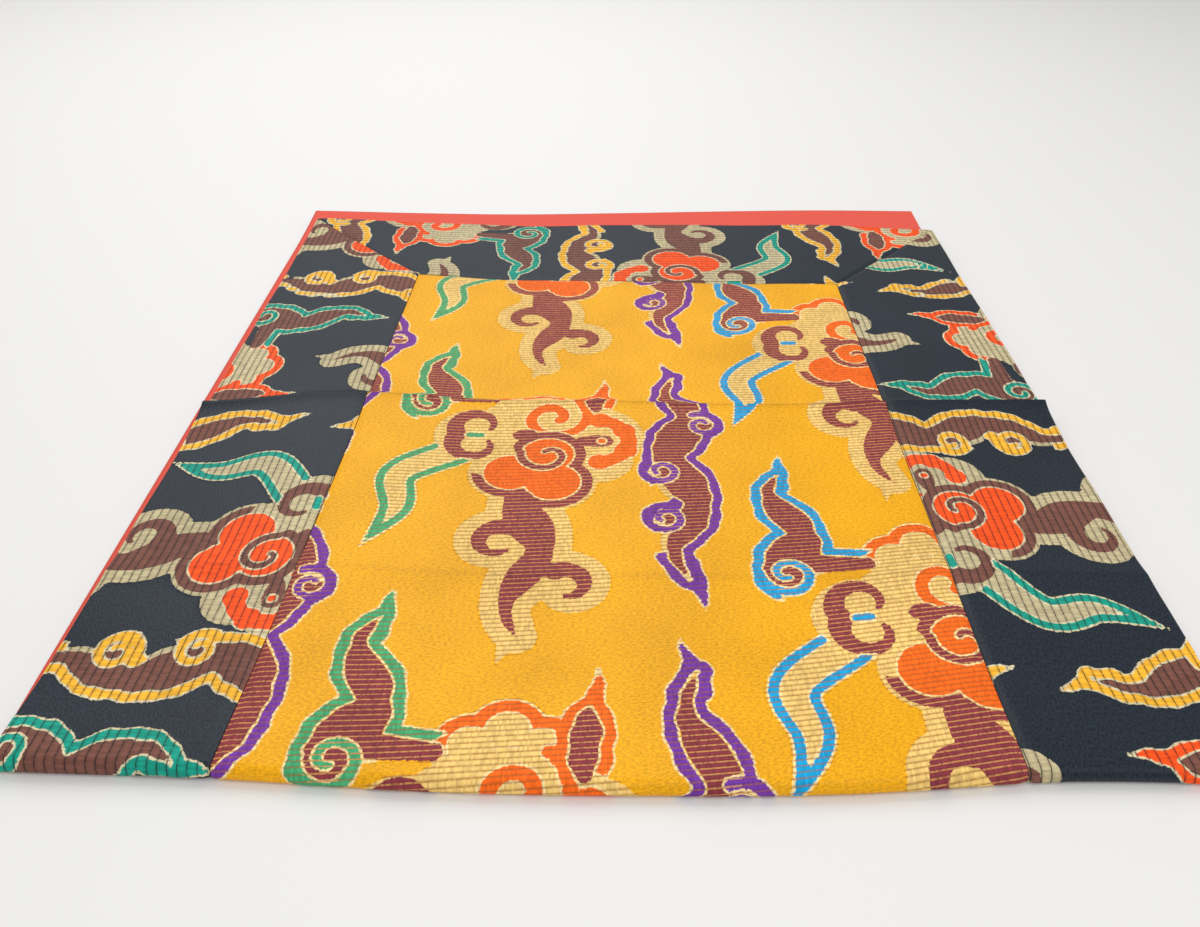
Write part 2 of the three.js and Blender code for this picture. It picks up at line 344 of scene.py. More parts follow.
LONG_FLAME = [tongue(106, 72, -106, 9.5, 6, 2.5), dots((118, 12, 7), (97, -28, 7), (98, -64, 6.5))]
LONG_FLAME_TIPS = [tip(106, 71, 20, -7), tip(106, -105, -20, 7)]
LONG_FLAME_BAYS = [dots((95, -45, 7.5), (92, -81, 7.5))]  # below a curl the rim gives way to a pale hem
BAY_HEM = 3
LONG_FLAME_CURLS = [
    # x and y of its middle, angle where it starts, turn, then its radii and widths
    scroll(119, 12, 120, -430, (CURL_START, CURL_END), (2.2, 1.4)),
    scroll(96, -28, 150, 430, (CURL_START, CURL_END), (2.2, 1.4)),
    scroll(97, -64, 150, 430, (CURL_START, CURL_END), (2.2, 1.4)),
]
CLOUD_FLAME = [
    tongue(-24, 97, 24, 10, 6, 1.25, foot=1),
    dots((-29, 27, 9)),
    sweep((-26, 34, 7), (8, 32, 4)),
]
CLOUD_FLAME_TIPS = [tip(-24, 97, 19, 3)]
CLOUD_FLAME_ROOT = [sweep((-22, 14, 11), (4, 22, 10), (16, 32, 10))]
CLOUD_FLAME_CURL = [scroll(-28, 27, 180, 450, (1.3 * CURL_START, CURL_END), (2.4, 1.4))]
SMALL_FLAME = [tongue(64, 54, 24, 6, 2, 0.25, foot=0.4)]
SMALL_FLAME_TIPS = [tip(64, 54, 22, 4)]
SMALL_FLAME_ROOT = [dots((64, 12, 13))]
ZIGZAG_FLAME = [
    tongue(33, -140, -52, 9, 6, 1.25, foot=0.9),
    scroll(20, -82, 60, 250, (11, 7), (5.5, 1.3)),
    scroll(52, -110, 120, -210, (10, 6), (5.5, 1.4)),
]
ZIGZAG_TIPS = [tip(33, -136, -18, -7)]
print("flame strokes:", len(LONG_FLAME + CLOUD_FLAME + SMALL_FLAME + ZIGZAG_FLAME))

# %% Cloud
HEAD = [dots((0, 0, 22), (22, 4, 26), (44, 8, 28), (64, 0, 24), (64, -20, 18))]
EYE = [sweep((-3, 0, 2), (3, 0, 2))]
BROW = scroll(1, 8, 210, -235, (13, 7), (5, 1.4))
BROWS = [BROW, mirrored(BROW), sweep((20, 1, 0.8), (26, 1, 5), (33, 1, 1))]
TAIL = [sweep((-8, -14, 12), (-34, -36, 11), (-31, -62, 8.5), (-42, -90, 0.9))]
TAIL_ROOT = [dots((0, 0, 21))]
CREST = [puffs(34, 28, 15, 15, (150, 90, 30)), dots((34, 24, 18))]
CREST_FOOT = 31  # the crest's band stops here
CREST_SPIRAL = [scroll(40, 16, 60, -450, (20, 4), (3, 3))]
TREFOIL = [puffs(34, -28, 13, 13.5, (70, 190, 310))]
TREFOIL_ROOT = [dots((8, -18, 15))]
TREFOIL_SPIRAL = [scroll(*TREFOIL[0][0, :2], 170, 310, (14, 3), (2.2, 1.4))]
LOBES = [scroll(62, -4, 80, -160, (18, 18), (4.4, 4.4)), puffs(62, -4, 18, 6, (80, 30, -25, -80))]
DROP = [sweep((51, -4, 0.6), (60, -4, 4.6), (67, -4, 5))]
DROP_EYE = [dots((66, -4, 2.2))]
CLOUD_HEM = 8  # pale margin round the zigzag flame and the trefoil
BAND = 5.2  # width of the crest's and the trefoil's bands
TAIL_BAND = 4
print("cloud strokes:", len(HEAD + BROWS + TAIL + LOBES + TREFOIL))

# %% One repeat, yarn by yarn
YARNS = ("pale", "dark", "orange", "rim", "accent")


def flame(x, y, core, tips, openings):
    """Distances to a flame's core and to the rim round it, which is left open in places."""
    x = x + WAVER * sum(np.sin(phase(x, y, lengths)) for lengths in WAVER_WAVES)
    body = distance(x, y, core)
    outer = np.minimum(body - RIM - 2 * OUTLINE, distance(x, y, tips))
    rim = np.maximum(outer + OUTLINE, OUTLINE - body)
    return body, np.maximum(rim, -distance(x, y, openings))


def inner_band(shape, width):
    """Distance to the band along the inside of a shape's edge."""
    return np.maximum(shape + OUTLINE, -shape - OUTLINE - width)


def repeat(x, y):
    """Distances to what each yarn draws round one cloud, whose eye is at 0, 0."""
    long_core, long_rim = flame(x, y, LONG_FLAME, LONG_FLAME_TIPS, LONG_FLAME_BAYS)
    cloud_core, cloud_rim = flame(x, y, CLOUD_FLAME, CLOUD_FLAME_TIPS, CLOUD_FLAME_ROOT)
    small_core, small_rim = flame(x, y, SMALL_FLAME, SMALL_FLAME_TIPS, SMALL_FLAME_ROOT)
    zigzag, tail, crest_edge, trefoil = (distance(x, y, s) for s in (ZIGZAG_FLAME, TAIL, CREST, TREFOIL))
    drop_eye = distance(x, y, DROP_EYE)
    drop = np.maximum(distance(x, y, DROP), OUTLINE - drop_eye)
    around_trefoil = np.maximum(trefoil - OUTLINE - BAND, OUTLINE - trefoil)
    collar = np.maximum(around_trefoil, -distance(x, y, TREFOIL_ROOT))
    crest_band = np.maximum(inner_band(crest_edge, BAND), CREST_FOOT - y)
    tail_band = np.maximum(inner_band(tail, TAIL_BAND), -distance(x, y, TAIL_ROOT))

    plain = distance(x, y, HEAD + ZIGZAG_TIPS)
    bay_hem = np.maximum(long_core - BAY_HEM, distance(x, y, LONG_FLAME_BAYS))
    pale = [plain, bay_hem, crest_edge, tail, zigzag - CLOUD_HEM, trefoil - CLOUD_HEM]
    dark = [long_core, cloud_core, small_core, zigzag, collar, drop, distance(x, y, TREFOIL_SPIRAL + BROWS)]
    orange = [small_rim, crest_band, trefoil, drop_eye, distance(x, y, CREST_SPIRAL + LOBES)]
    rim = [long_rim, distance(x, y, LONG_FLAME_CURLS)]
    accent = [cloud_rim, tail_band, distance(x, y, CLOUD_FLAME_CURL + EYE)]
    return [np.minimum.reduce(shapes) for shapes in (pale, dark, orange, rim, accent)]


print("yarns that draw:", YARNS)

# %% Repeat it over the cloth
REPEAT_ACROSS = 177
REPEAT_UP = 229
PANEL_DROP = 128  # how far every other column lies below its neighbours
BORDER_DROP = REPEAT_UP / 2
REPEAT_BOX = ((-62, 146), (-168, 132))  # a repeat's reach from its cloud's eye, across and up


def figures(right, up, drop):
    """Distances by yarn, and which of two accent colours the nearest cloud has (0 or 1)."""
    x, y = right.ravel(), up.ravel()
    yarns = np.full((len(YARNS), x.size), float(REACH))
    accent_kind = np.zeros(x.size)
    columns = range(int(x.min() // REPEAT_ACROSS) - 1, int(x.max() // REPEAT_ACROSS) + 2)
    rows = range(int(y.min() // REPEAT_UP) - 1, int(y.max() // REPEAT_UP) + 3)
    for i, j in ((i, j) for i in columns for j in rows):
        dx = x - i * REPEAT_ACROSS
        dy = y - j * REPEAT_UP + (i % 2) * drop
        inside = [(d > low) & (d < high) for d, (low, high) in zip((dx, dy), REPEAT_BOX)]
        near = np.flatnonzero(inside[0] & inside[1])
        if not near.size:
            continue
        drawn = np.array(repeat(dx[near], dy[near]))
        nearer = drawn[-1] < yarns[-1][near]
        accent_kind[near[nearer]] = i % 2
        yarns[:, near] = np.minimum(yarns[:, near], drawn)
    shaped = {yarn: field.reshape(right.shape) for yarn, field in zip(YARNS, yarns)}
    return shaped | {"accent_kind": accent_kind.reshape(right.shape)}


print("repeat, mm:", REPEAT_ACROSS, "x", REPEAT_UP)

# %% [markdown]
# ## Making a piece of cloth
# A plane with a Solidify modifier would do for plain cloth. Here the outer side needs a fine grid, to carry
# the figures and their slight relief, while the hidden side needs few faces. So each piece is a fine grid
# and a coarse one, joined round the edges. Along a seam the cloth is drawn in, and a free edge is rolled.

# %% Rows and edges
SEAM_DIP = 0.65
SEAM_DIP_WIDTH = 3.5
HEM_ROLL = 1.1
HEM_DROP = 0.9 * FACE_THICKNESS
EDGE_STATIONS = np.array([0, 0.4, 0.9, 1.6, 2.6])  # rows set closer along an edge


def stations(start, end, step):
    """Places from start to end, about step apart and closer at both ends."""
    inset = EDGE_STATIONS[-1]
    count = max(2, round((end - start - 2 * inset) / step))
    even = np.linspace(start + inset, end - inset, count + 1)
    return np.concatenate([start + EDGE_STATIONS[:-1], even, end - EDGE_STATIONS[-2::-1]])


def edge_dip(u, v, sides):
    """How far the face is drawn in along its sides: seams are dipped, hems rolled."""
    total = np.zeros(u.shape)
    border = {
        "left": (u[:, :1], v[:, :1]),
        "right": (u[:, -1:], v[:, -1:]),
        "first": (u[:1], v[:1]),
        "last": (u[-1:], v[-1:]),
    }
    for side, kind in sides.items():
        away = np.hypot(u - border[side][0], v - border[side][1])
        if kind == "seam":
            dip = SEAM_DIP * (1 - smooth(away, 0, SEAM_DIP_WIDTH))
        else:
            dip = HEM_DROP * (1 - np.sqrt(1 - np.clip(1 - away / HEM_ROLL, 0, 1) ** 2))
        total = np.maximum(total, dip)
    return total


print("rows over 100 mm of cloth:", len(stations(0, 100, 2)))

# %% Faces of a closed sheet
COARSE = 4  # the hidden side keeps every fourth row and column


def thinned(count):
    kept = list(range(0, count - 1, COARSE))
    return kept + [count - 1]


def closed_faces(rows, columns):
    """Faces of the fine outer grid, of the strips round its edges, and of the coarse grid behind it."""
    fine = np.arange(rows * columns).reshape(rows, columns)
    kept_rows, kept_columns = thinned(rows), thinned(columns)
    coarse = fine.size + np.arange(len(kept_rows) * len(kept_columns)).reshape(len(kept_rows), -1)
    outer = np.stack([fine[:-1, :-1], fine[:-1, 1:], fine[1:, 1:], fine[1:, :-1]], -1)
    inner = np.stack([coarse[:-1, :-1], coarse[1:, :-1], coarse[1:, 1:], coarse[:-1, 1:]], -1)
    strips = []
    for line, behind, kept, forward in (
        (fine[0], coarse[0], kept_columns, True),
        (fine[:, -1], coarse[:, -1], kept_rows, True),
        (fine[-1], coarse[-1], kept_columns, False),
        (fine[:, 0], coarse[:, 0], kept_rows, False),
    ):
        for k in range(len(kept) - 1):
            front = line[kept[k] : kept[k + 1] + 1].tolist()
            strip = front[::-1] + [int(behind[k]), int(behind[k + 1])]
            strips.append(strip if forward else strip[::-1])
    outer, inner = (side.reshape(-1, 4).tolist() for side in (outer, inner))
    return outer, strips, inner, np.ix_(kept_rows, kept_columns)


print("a grid of 9 by 9 gives", [len(part) for part in closed_faces(9, 9)[:3]], "faces")

# %% One piece of cloth
FIGURE_RELIEF = 0.2
RELIEF_EDGE = (-1.4, 0.6)  # the relief rises from outside a figure's edge to inside it
CREASE_SHADE_REACH = (3, 5)  # reach of the painted shade along a crease, in front of its crest and behind it
FAINT_CREASE_SHADE = 0.4  # the faint crease gets less of the painted shade
BAKE_ROOM = 0.96  # share of the texture that the outer side takes


def cloth(name, material, u, v, inner, thickness, sides, drawn, across_lines, along_lines):
    """One closed piece. The drawn distances and the places in the weave go with its vertices."""
    outer_faces, strips, inner_faces, kept = closed_faces(*u.shape)
    relief = np.zeros(u.shape)
    if drawn:
        figure = np.minimum.reduce([drawn[yarn] for yarn in YARNS])
        relief = FIGURE_RELIEF * smooth(-figure, *RELIEF_EDGE)
    outside = place(u, v, inner + thickness + relief - edge_dip(u, v, sides))
    points = np.vstack([outside.reshape(-1, 3), place(u[kept], v[kept], inner).reshape(-1, 3)]) * MM
    mesh = bpy.data.meshes.new(name)
    mesh.from_pydata(points.tolist(), [], outer_faces + strips + inner_faces)
    mesh.polygons.foreach_set("use_smooth", np.ones(len(mesh.polygons), bool))
    # painted shade: darker along the crest of the crease, and less along the faint crease
    painted_crease_shade = crest(v - CREASE_AT, *CREASE_SHADE_REACH) + FAINT_CREASE_SHADE * crest(v - FAINT_CREASE_AT, *CREASE_SHADE_REACH)
    values = drawn | {"across_lines": across_lines, "along_lines": along_lines, "painted_crease_shade": painted_crease_shade}
    for attribute, value in values.items():
        behind = np.full(value[kept].shape, float(REACH)) if attribute in YARNS else value[kept]
        data = np.concatenate([value.ravel(), behind.ravel()]).astype(np.float32)
        mesh.attributes.new(attribute, "FLOAT", "POINT").data.foreach_set("value", data)

    spot = np.stack([(u - u.min()) / np.ptp(u), BAKE_ROOM * (v - v.min()) / np.ptp(v)], -1)
    spots = np.vstack([spot.reshape(-1, 2), spot[kept].reshape(-1, 2)])
    corner = np.empty(len(mesh.loops), int)
    mesh.loops.foreach_get("vertex_index", corner)
    corners = spots[corner]
    hidden = len(corners) - 4 * len(inner_faces)
    corners[hidden:, 1] = 1 - (1 - BAKE_ROOM) / 2 * corners[hidden:, 1]
    mesh.uv_layers.new(name="OFBake").data.foreach_set("uv", corners.ravel())

    piece = bpy.data.objects.new(name, mesh)
    bpy.context.scene.collection.objects.link(piece)
    mesh.materials.append(material)
    triangles = sum(len(p.vertices) - 2 for p in mesh.polygons)
    print(name, "triangles:", triangles)
    return piece


# %% [markdown]
# ## Brocade
# Brocade is a silk satin whose figures are woven in with extra coloured wefts. They float on the surface and
# are tied down by thin binding threads, which show as close lines over every figure. To the eye that gives a
# soft gloss on the ground, slightly ragged outlines, and a ribbed look inside the figures. The figures could
# be wrapped round the cloth as a picture, but close up a picture blurs. So the material reads the distances
# kept at the vertices, and draws the yarns over each other in the order in which they cover on the real
# cloth. One recipe makes both colourways.

# %% Colours and nodes
def linear(code):
    """Linear colour of an sRGB hex code such as "d8453a"."""
    channels = [int(code[i : i + 2], 16) / 255 for i in (0, 2, 4)]
    return [c / 12.92 if c <= 0.04045 else ((c + 0.055) / 1.055) ** 2.4 for c in channels] + [1]


def add(tree, kind, settings, inputs, output=None):
    """A node with its settings, and its inputs by name: a value, or the output of another node."""
    node = tree.nodes.new(kind)
    for key, value in settings.items():
        setattr(node, key, value)
    named = {socket.name: socket for socket in reversed(node.inputs) if socket.enabled}
    for key, value in inputs.items():
        socket = node.inputs[key] if isinstance(key, int) else named[key]
        if isinstance(value, bpy.types.NodeSocket):
            tree.links.new(value, socket)
        else:
            socket.default_value = value
    shown = [s for s in node.outputs if s.enabled]
    return next((s for s in shown if s.name == output), shown[0] if shown else node)


print("a middle grey in linear light:", round(linear("808080")[0], 3))

# %% Yarns of both colourways
YELLOW_COLOURWAY = {
    "ground": "f4ae12",
    "pale": "f1c976",
    "outline": "fadd9c",
    "orange": "ff6c18",
    "dark": "8a3840",
    "rim": "7438a0",
    "accent_even": "48aa72",
    "accent_odd": "14a2d8",
    "lines": "b0682c",
    "lines_on_dark": "e2a05c",
}
BLACK_COLOURWAY = {
    "ground": "1e2731",
    "pale": "c2b48c",
    "outline": "dacda6",
    "orange": "fb5412",
    "dark": "784c40",
    "rim": "f6b630",
    "accent_even": "109a84",
    "accent_odd": "109a84",
    "lines": "1b1c20",
    "lines_on_dark": "1b1c20",
}
print("yarns of a colourway:", len(YELLOW_COLOURWAY))

# %% Brocade: ragged edges
FLOAT_WIDTH = 0.85  # one float of the figure wefts; real ones are about half as wide and would not show
FLOAT_STEP = 1.3  # the outlines step by this much across the floats
EDGE_RAGGED = 0.5


def ragged_edges(tree, face):
    """Distances whose edges step in and out where floats end, the figured area, and the chance behind it."""
    one_step = {0: face["weave"], 1: (FLOAT_WIDTH, FLOAT_STEP, 1)}
    step = add(tree, "ShaderNodeVectorMath", {"operation": "SNAP"}, one_step)
    chance = add(tree, "ShaderNodeTexWhiteNoise", {"noise_dimensions": "2D"}, {"Vector": step}, "Value")
    jitter = {0: chance, 1: EDGE_RAGGED, 2: -EDGE_RAGGED / 2}
    ragged = add(tree, "ShaderNodeMath", {"operation": "MULTIPLY_ADD"}, jitter)
    edge = {}
    for key in YARNS:
        edge[key] = add(tree, "ShaderNodeMath", {"operation": "ADD"}, {0: face[key], 1: ragged})
    bright = {0: edge["rim"], 1: edge["accent"]}
    edge["bright"] = add(tree, "ShaderNodeMath", {"operation": "MINIMUM"}, bright)
    beside_dark = add(tree, "ShaderNodeMath", {"operation": "SUBTRACT"}, {0: edge["dark"], 1: OUTLINE})
    both = {0: edge["orange"], 1: beside_dark}
    edge["dark_on_orange"] = add(tree, "ShaderNodeMath", {"operation": "MAXIMUM"}, both)
    figure = edge["bright"]
    for field in ("pale", "orange", "dark"):
        figure = add(tree, "ShaderNodeMath", {"operation": "MINIMUM"}, {0: figure, 1: edge[field]})
    limits = {"Value": figure, "From Min": OUTLINE, "From Max": OUTLINE / 2}
    return edge, add(tree, "ShaderNodeMapRange", {}, limits), chance


print("a float is", FLOAT_WIDTH, "mm wide")

# %% Brocade: yarns over each other
EDGE_BLUR = 0.15
LAYERS = (
    # distance that is drawn, how far beyond it (mm), yarn
    ("pale", 0, "pale"),
    ("orange", OUTLINE, "outline"),
    ("orange", 0, "orange"),
    ("dark_on_orange", 0, "outline"),
    ("dark", 0, "dark"),
    ("bright", OUTLINE, "outline"),
    ("rim", 0, "rim"),
    ("accent", 0, "accent"),
)


def yarn_layers(tree, yarn, edge):
    """Colour of the uppermost yarn, and where the dark yarn covers."""
    colour = yarn["ground"]
    covers = {}
    for field, beyond, thread in LAYERS:
        limits = {"Value": edge[field], "From Min": beyond + EDGE_BLUR, "From Max": beyond - EDGE_BLUR}
        covers[thread] = add(tree, "ShaderNodeMapRange", {}, limits)
        layer = {"Factor": covers[thread], "A": colour, "B": yarn[thread]}
        colour = add(tree, "ShaderNodeMix", {"data_type": "RGBA"}, layer)
    return colour, covers["dark"]


print("layers of yarn:", len(LAYERS))

# %% Brocade: binding lines
LINE_BLUR = 0.1
LINE_BREAKS = (0.1, 0.4)  # a line is faint where the chance is below the first, full above the second
FAINT_LINE = 0.4


def binding_lines(tree, face, yarn, spacing, width, strengths):
    """Colour with the threads that tie the floats down, and how far a float bulges between two of them."""
    half = spacing / 2
    from_line = add(tree, "ShaderNodeMath", {"operation": "PINGPONG"}, {0: face["across_lines"], 1: half})
    limits = {"Value": from_line, "From Min": width / 2 + LINE_BLUR, "From Max": width / 2 - LINE_BLUR}
    line = add(tree, "ShaderNodeMapRange", {}, limits)
    breaks = {"Value": face["chance"], "From Min": LINE_BREAKS[0], "From Max": LINE_BREAKS[1]}
    broken = add(tree, "ShaderNodeMapRange", {}, breaks | {"To Min": FAINT_LINE})
    strong = {"Value": face["dark"], "To Min": strengths[0], "To Max": strengths[1]}
    strength = add(tree, "ShaderNodeMapRange", {}, strong)
    for share in (face["figured"], broken, strength):
        line = add(tree, "ShaderNodeMath", {"operation": "MULTIPLY"}, {0: line, 1: share})
    shown = {"Factor": face["dark"], "A": yarn["lines"], "B": yarn["lines_on_dark"]}
    thread = add(tree, "ShaderNodeMix", {"data_type": "RGBA"}, shown)
    layer = {"Factor": line, "A": face["colour"], "B": thread}
    colour = add(tree, "ShaderNodeMix", {"data_type": "RGBA"}, layer)
    bulge = {"Value": from_line, "From Max": half}
    return colour, add(tree, "ShaderNodeMapRange", {"interpolation_type": "SMOOTHSTEP"}, bulge)


print("binding lines end over", LINE_BLUR, "mm")

# %% Brocade: light and dark
GLINT = (0.82, 1.16)  # the dullest and the brightest float
RIB_SHADE = (0.86, 1.06)  # beside a binding line, and midway between two
SATIN_FLECK = (1.5, 0.8)  # length and width of the satin's flecks, drawn several times as coarse as real
FLECK_RANGE = (0.3, 0.7)  # noise at which a fleck is darkest and lightest
FADED_PATCH = 45
FADED_SHADE = (0.84, 1.16)  # the darkest patch and the lightest
CREASE_SHADE_DARKEST = 0.74  # painted shade, darkest on the crest of a crease


def float_shade(tree, face, rib, spacing):
    """Each float catches the light in its own way, and darkens towards its binding lines."""
    one_float = {0: face["weave"], 1: (FLOAT_WIDTH, spacing, 1)}
    one_float = add(tree, "ShaderNodeVectorMath", {"operation": "SNAP"}, one_float)
    glint = add(tree, "ShaderNodeTexWhiteNoise", {"noise_dimensions": "2D"}, {"Vector": one_float}, "Value")
    glint = add(tree, "ShaderNodeMapRange", {}, {"Value": glint, "To Min": GLINT[0], "To Max": GLINT[1]})
    ribbed = {"Value": rib, "To Min": RIB_SHADE[0], "To Max": RIB_SHADE[1]}
    shade = add(tree, "ShaderNodeMapRange", {}, ribbed)
    return add(tree, "ShaderNodeMath", {"operation": "MULTIPLY"}, {0: shade, 1: glint})


def satin_shade(tree, face, shades):
    """The satin ground is even, with small flecks where threads cross. Also gives the flecks themselves."""
    fleck_size = {0: face["weave"], 1: (*SATIN_FLECK, 1)}
    flecks = add(tree, "ShaderNodeVectorMath", {"operation": "DIVIDE"}, fleck_size)
    grain = {"Vector": flecks, "Scale": 1.0, "Detail": 3.0}
    fleck = add(tree, "ShaderNodeTexNoise", {"noise_dimensions": "2D"}, grain)
    limits = {"Value": fleck, "From Min": FLECK_RANGE[0], "From Max": FLECK_RANGE[1]}
    limits |= {"To Min": shades[0], "To Max": shades[1]}
    return add(tree, "ShaderNodeMapRange", {}, limits), fleck


def fading_and_crease_shade(tree, face):
    """The cloth has faded in patches, and painted shade darkens it along the crests of its creases."""
    patch = {"Vector": face["weave"], "Scale": 1 / FADED_PATCH, "Detail": 2.0}
    faded = add(tree, "ShaderNodeTexNoise", {"noise_dimensions": "2D"}, patch)
    shades = {"Value": faded, "To Min": FADED_SHADE[0], "To Max": FADED_SHADE[1]}
    faded = add(tree, "ShaderNodeMapRange", {}, shades)
    # painted shade along the creases, so that they show
    crease_shade = {"Value": face["painted_crease_shade"], "To Min": 1.0, "To Max": CREASE_SHADE_DARKEST}
    crease_shade = add(tree, "ShaderNodeMapRange", {}, crease_shade)
    return add(tree, "ShaderNodeMath", {"operation": "MULTIPLY"}, {0: faded, 1: crease_shade})


print("a faded patch is about", FADED_PATCH, "mm across")

# %% Brocade: the whole recipe
ROUGHNESS = (0.42, 0.6)  # of the satin and of the floats
RELIEF_HEIGHT = 0.25
RELIEF_STRENGTH = 0.5


def brocade(name, colourway, line_spacing, line_width, line_strengths, fleck_shades, gloss):
    """Silk brocade: a satin ground, figures in layers over it, and the binding lines over the figures."""
    material = bpy.data.materials.new(name)
    material.use_nodes = True
    tree = material.node_tree
    tree.nodes.clear()
    yarn = {key: linear(code) for key, code in colourway.items()}
    # the last attribute is the painted shade along the creases
    kept = (*YARNS, "accent_kind", "across_lines", "along_lines", "painted_crease_shade")
    face = {key: add(tree, "ShaderNodeAttribute", {"attribute_name": key}, {}, "Fac") for key in kept}
    places = {"X": face["along_lines"], "Y": face["across_lines"]}
    face["weave"] = add(tree, "ShaderNodeCombineXYZ", {}, places)
    accents = {"Factor": face["accent_kind"], "A": yarn["accent_even"], "B": yarn["accent_odd"]}
    yarn["accent"] = add(tree, "ShaderNodeMix", {"data_type": "RGBA"}, accents)

    edge, face["figured"], face["chance"] = ragged_edges(tree, face)
    face["colour"], face["dark"] = yarn_layers(tree, yarn, edge)
    colour, rib = binding_lines(tree, face, yarn, line_spacing, line_width, line_strengths)
    satin, fleck = satin_shade(tree, face, fleck_shades)
    floats = float_shade(tree, face, rib, line_spacing)
    shade = add(tree, "ShaderNodeMix", {}, {"Factor": face["figured"], "A": satin, "B": floats})
    # faded patches, and painted shade along the creases
    shade = add(tree, "ShaderNodeMath", {"operation": "MULTIPLY"}, {0: shade, 1: fading_and_crease_shade(tree, face)})
    layer = {"Factor": 1.0, "A": colour, "B": shade}
    colour = add(tree, "ShaderNodeMix", {"data_type": "RGBA", "blend_type": "MULTIPLY"}, layer)

    height = add(tree, "ShaderNodeMix", {}, {"Factor": face["figured"], "A": fleck, "B": rib})
    relief = {"Strength": RELIEF_STRENGTH, "Distance": RELIEF_HEIGHT * MM, "Height": height}
    bump = add(tree, "ShaderNodeBump", {}, relief)
    rough = {"Value": face["figured"], "To Min": ROUGHNESS[0], "To Max": ROUGHNESS[1]}
    rough = add(tree, "ShaderNodeMapRange", {}, rough)
    surface = {"Base Color": colour, "Roughness": rough, "Normal": bump, "Specular IOR Level": gloss}
    shader = add(tree, "ShaderNodeBsdfPrincipled", {}, surface)
    add(tree, "ShaderNodeOutputMaterial", {}, {"Surface": shader})
    print(name, "nodes:", len(tree.nodes))
    return material


print("roughness of the satin and of the floats:", ROUGHNESS)

# %% Brocade: both colourways
# The binding lines are drawn wider than real so that they show. Their strengths are those on light yarns and
# on the dark one, and the fleck shades are those of the darkest fleck of the satin and of the lightest
yellow_brocade = brocade(
    "yellow silk brocade",
    YELLOW_COLOURWAY,
    line_spacing=2.5,
    line_width=0.65,
    line_strengths=(0.6, 0.85),
    fleck_shades=(0.77, 1.14),
    gloss=0.14,
)
black_brocade = brocade(
    "black silk brocade",
    BLACK_COLOURWAY,
    line_spacing=3.65,
    line_width=0.5,
    line_strengths=(0.8, 0.85),
    fleck_shades=(0.5, 1.5),
    gloss=0.2,
)

# %% [markdown]
# ## The yellow panel
# It is one length of brocade that runs round the fold and is sewn to the borders on all four sides. It could
# be two flat sheets with a rolled edge between them, but then the figures would break at the fold. So one
# grid runs from the hidden end, round the fold and on to the end on top, with its rows closer at the fold.

# %% Seams and rows
END_BORDER = 88
PANEL_UPPER = UPPER_LENGTH - END_BORDER
PANEL_LOWER = LOWER_LENGTH - END_BORDER
SEAM_GAP = 0.3
# The panel's seams run a little out of square: (at the fold, at the upper end), then (at left, at right)
LEFT_SEAM = (-149, -139)
RIGHT_SEAM = (141.5, 142)
UPPER_SEAM = (398, 389)

UPPER_STEP = 1.6
LOWER_STEP = 3.2
FOLD_STEP = 0.8
FOLD_ZONE = 10
MITRE_FAN = 36  # the rows start to turn this far from an end seam


def spaced(start, end, step):
    return np.linspace(start, end, max(2, round((end - start) / step) + 1))


def long_rows(lower, upper, lower_step, upper_step):
    """Rows of a piece that runs round the fold, with one on the crest of the crease."""
    runs = [
        stations(-lower, -FOLD_ZONE, lower_step)[: -len(EDGE_STATIONS)],
        spaced(-FOLD_ZONE, FOLD_ZONE, FOLD_STEP)[:-1],
        spaced(FOLD_ZONE, CREASE_AT, upper_step)[:-1],
        stations(CREASE_AT, upper, upper_step),
    ]
    return np.concatenate(runs)


def turned(v, upper_end, lower_end):
    """Rows turned near the panel's two ends, so that the last ones run along the end seams."""
    upper = np.clip((v - PANEL_UPPER + MITRE_FAN) / MITRE_FAN, 0, 1)
    lower = np.clip((MITRE_FAN - PANEL_LOWER - v) / MITRE_FAN, 0, 1)
    v = v + (upper_end - v) * upper
    return v + (lower_end - v) * lower


def seam_across(seam, v):
    """Place across the cloth of a side seam, at v along it."""
    return seam[0] + (seam[1] - seam[0]) * np.clip(v / PANEL_UPPER, 0, 1)


def between(a, b, share):
    return a + (b - a) * share


rows = long_rows(PANEL_LOWER, PANEL_UPPER, LOWER_STEP, UPPER_STEP)
print("rows of the panel:", len(rows))

# %% Panel
TAKEN_UP = (19, 2)  # cloth gathered in the crease at the panel's left and right
TAKEN_UP_CHANGES = (-20, 100)  # from the one to the other between these places across
CLOUD_EYE = (-79, 212)
LINE_SLANT = (0.1, 0.04)  # the binding lines run out of square, most near the fold
SLANT_CHANGES = (60, 260)  # from the one to the other between these places along
LINE_WANDER = 0.4  # and they wander to and fro by this much
PANEL_WANDER = (31, 53)


def taken_up(v, length):
    """Places along the weave: the crease's steep back has gathered some length of cloth."""
    return v + length * smooth(v, CREASE_AT, CREASE_AT + RIDGE_BACK)


